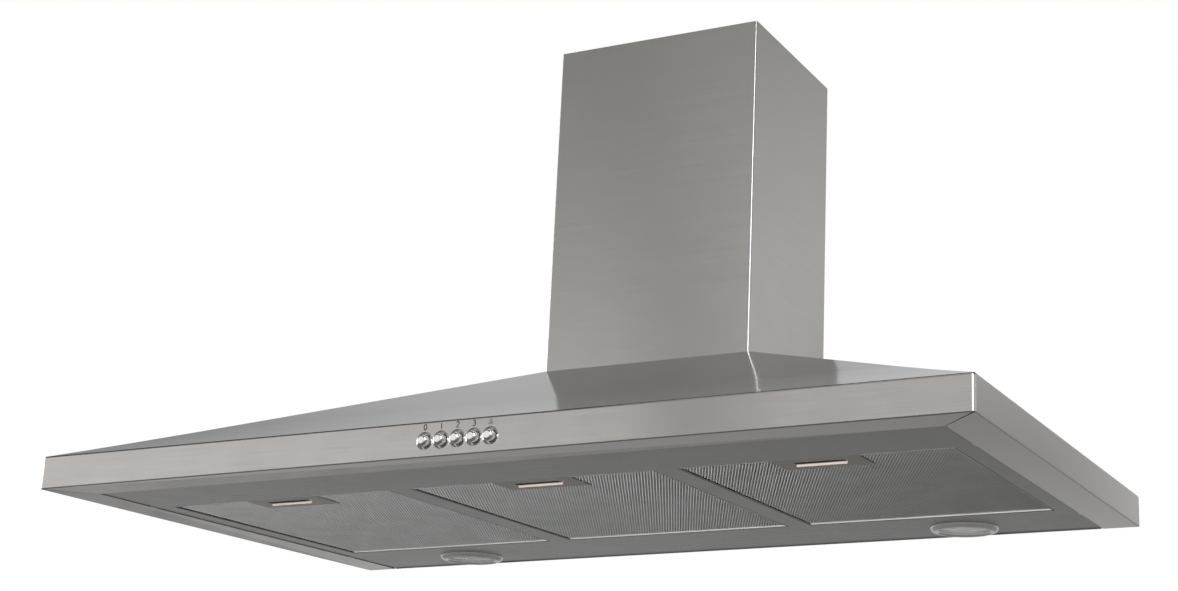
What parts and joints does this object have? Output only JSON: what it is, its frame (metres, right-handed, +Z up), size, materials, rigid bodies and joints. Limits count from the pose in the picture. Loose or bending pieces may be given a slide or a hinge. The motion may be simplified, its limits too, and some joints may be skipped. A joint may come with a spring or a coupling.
{
  "type": "wall chimney range hood",
  "caption": "Wall-mounted stainless pyramid range hood with a telescopic chimney, swing-down mesh grease filters, round lamps and a row of chrome push buttons",
  "frame": {"origin": "middle of the wall plane, level with the underside of the fascia", "axes": "+X to the right along the front, -Y out from the wall into the room, +Z up"},
  "size_m": [0.9, 0.5055, 0.5132],
  "materials": {
    "brushed_stainless": "fine horizontal brushed grain",
    "satin_stainless": "satin, fine grain",
    "galvanised_steel": "dull zinc spangle",
    "spring_steel": "bright",
    "moulded_casing": "matte mould texture",
    "dark_plastic": "matte",
    "turned_steel": "turned, bright zinc",
    "motor_enamel": "satin enamel",
    "grommet_rubber": "matte",
    "pale_plastic": "fine texture",
    "polished_chrome": "mirror polish",
    "lamp_glass": "pressed rings, frosted inside",
    "lamp_can_steel": "spun",
    "bulb_glass": "clear capsule on a ceramic base",
    "filter_aluminium": "expanded foil mesh, natural",
    "handle_bronze": "satin grey-bronze",
    "latch_steel": "satin"
  },
  "bodies": {
    "hood": {"back_panel": "galvanised_steel", "blower_casing_front": "moulded_casing", "blower_casing_rear": "moulded_casing", "blower_frame": "galvanised_steel", "blower_screws": "turned_steel", "bottom_panel": "satin_stainless", "cable_gland": "grommet_rubber", "canopy": "brushed_stainless", "capacitor": "pale_plastic", "capacitor_clip": "galvanised_steel", "casing_screws": "turned_steel", "chimney_wall_bracket": "galvanised_steel", "electrics_screws": "turned_steel", "fascia_band": "brushed_stainless", "flap_pin": "turned_steel", "inlet_ring": "moulded_casing", "lamp_bulb_left": "bulb_glass", "lamp_bulb_right": "bulb_glass", "lamp_can_left": "lamp_can_steel", "lamp_can_right": "lamp_can_steel", "lamp_driver": "pale_plastic", "lamp_glass_left": "lamp_glass", "lamp_glass_right": "lamp_glass", "lamp_ring_left": "polished_chrome", "lamp_ring_right": "polished_chrome", "lower_chimney": "brushed_stainless", "motor_body": "motor_enamel", "motor_end_cap": "motor_enamel", "motor_grommets": "grommet_rubber", "motor_mount": "galvanised_steel", "outlet_spigot": "moulded_casing", "panel_clips": "spring_steel", "switch_block": "dark_plastic", "switch_bracket": "galvanised_steel", "terminal_block": "pale_plastic", "terminal_box": "pale_plastic", "terminal_box_lid": "pale_plastic"},
    "upper_chimney": {"upper_chimney": "brushed_stainless"},
    "rotor": {"impeller": "dark_plastic", "motor_shaft": "turned_steel"},
    "flap_left": {"flap_left": "dark_plastic"},
    "flap_right": {"flap_right": "dark_plastic"},
    "button_off": {"button_off": "polished_chrome"},
    "button_speed_1": {"button_speed_1": "polished_chrome"},
    "button_speed_2": {"button_speed_2": "polished_chrome"},
    "button_speed_3": {"button_speed_3": "polished_chrome"},
    "button_light": {"button_light": "polished_chrome"},
    "filter_left": {"filter_frame_left": "filter_aluminium", "filter_mesh_left": "filter_aluminium", "filter_handle_left": "handle_bronze"},
    "latch_left": {"filter_latch_left": "latch_steel"},
    "filter_middle": {"filter_frame_middle": "filter_aluminium", "filter_mesh_middle": "filter_aluminium", "filter_handle_middle": "handle_bronze"},
    "latch_middle": {"filter_latch_middle": "latch_steel"},
    "filter_right": {"filter_frame_right": "filter_aluminium", "filter_mesh_right": "filter_aluminium", "filter_handle_right": "handle_bronze"},
    "latch_right": {"filter_latch_right": "latch_steel"}
  },
  "joints": [
    {"name": "chimney_extension", "type": "slide", "parent": "hood", "child": "upper_chimney", "axis": [0, 0, 1], "range_m": [0, 0.27]},
    {"name": "impeller_spin", "type": "hinge", "parent": "hood", "child": "rotor", "pos_m": [-0.008, -0.11, 0.255], "axis": [0, 1, 0], "continuous": true},
    {"name": "flap_left_swing", "type": "hinge", "parent": "hood", "child": "flap_left", "pos_m": [0, -0.092, 0.4], "axis": [0, 1, 0], "range_deg": [0, 78]},
    {"name": "flap_right_swing", "type": "hinge", "parent": "hood", "child": "flap_right", "pos_m": [0, -0.092, 0.4], "axis": [0, -1, 0], "range_deg": [0, 78]},
    {"name": "button_off_press", "type": "slide", "parent": "hood", "child": "button_off", "axis": [0, 1, 0], "range_m": [0, 0.003], "stiffness_N_per_m": 400, "springref_m": -0.001},
    {"name": "button_speed_1_press", "type": "slide", "parent": "hood", "child": "button_speed_1", "axis": [0, 1, 0], "range_m": [0, 0.003], "stiffness_N_per_m": 400, "springref_m": -0.001},
    {"name": "button_speed_2_press", "type": "slide", "parent": "hood", "child": "button_speed_2", "axis": [0, 1, 0], "range_m": [0, 0.003], "stiffness_N_per_m": 400, "springref_m": -0.001},
    {"name": "button_speed_3_press", "type": "slide", "parent": "hood", "child": "button_speed_3", "axis": [0, 1, 0], "range_m": [0, 0.003], "stiffness_N_per_m": 400, "springref_m": -0.001},
    {"name": "button_light_press", "type": "slide", "parent": "hood", "child": "button_light", "axis": [0, 1, 0], "range_m": [0, 0.003], "stiffness_N_per_m": 400, "springref_m": -0.001},
    {"name": "filter_left_swing", "type": "hinge", "parent": "hood", "child": "filter_left", "pos_m": [-0.271, -0.1092, 0.0065], "axis": [1, 0, 0], "range_deg": [0, 85]},
    {"name": "latch_left_slide", "type": "slide", "parent": "filter_left", "child": "latch_left", "axis": [0, 1, 0], "range_m": [0, 0.005], "stiffness_N_per_m": 300, "springref_m": -0.002},
    {"name": "filter_middle_swing", "type": "hinge", "parent": "hood", "child": "filter_middle", "pos_m": [0, -0.1092, 0.0065], "axis": [1, 0, 0], "range_deg": [0, 85]},
    {"name": "latch_middle_slide", "type": "slide", "parent": "filter_middle", "child": "latch_middle", "axis": [0, 1, 0], "range_m": [0, 0.005], "stiffness_N_per_m": 300, "springref_m": -0.002},
    {"name": "filter_right_swing", "type": "hinge", "parent": "hood", "child": "filter_right", "pos_m": [0.271, -0.1092, 0.0065], "axis": [1, 0, 0], "range_deg": [0, 85]},
    {"name": "latch_right_slide", "type": "slide", "parent": "filter_right", "child": "latch_right", "axis": [0, 1, 0], "range_m": [0, 0.005], "stiffness_N_per_m": 300, "springref_m": -0.002}
  ]
}
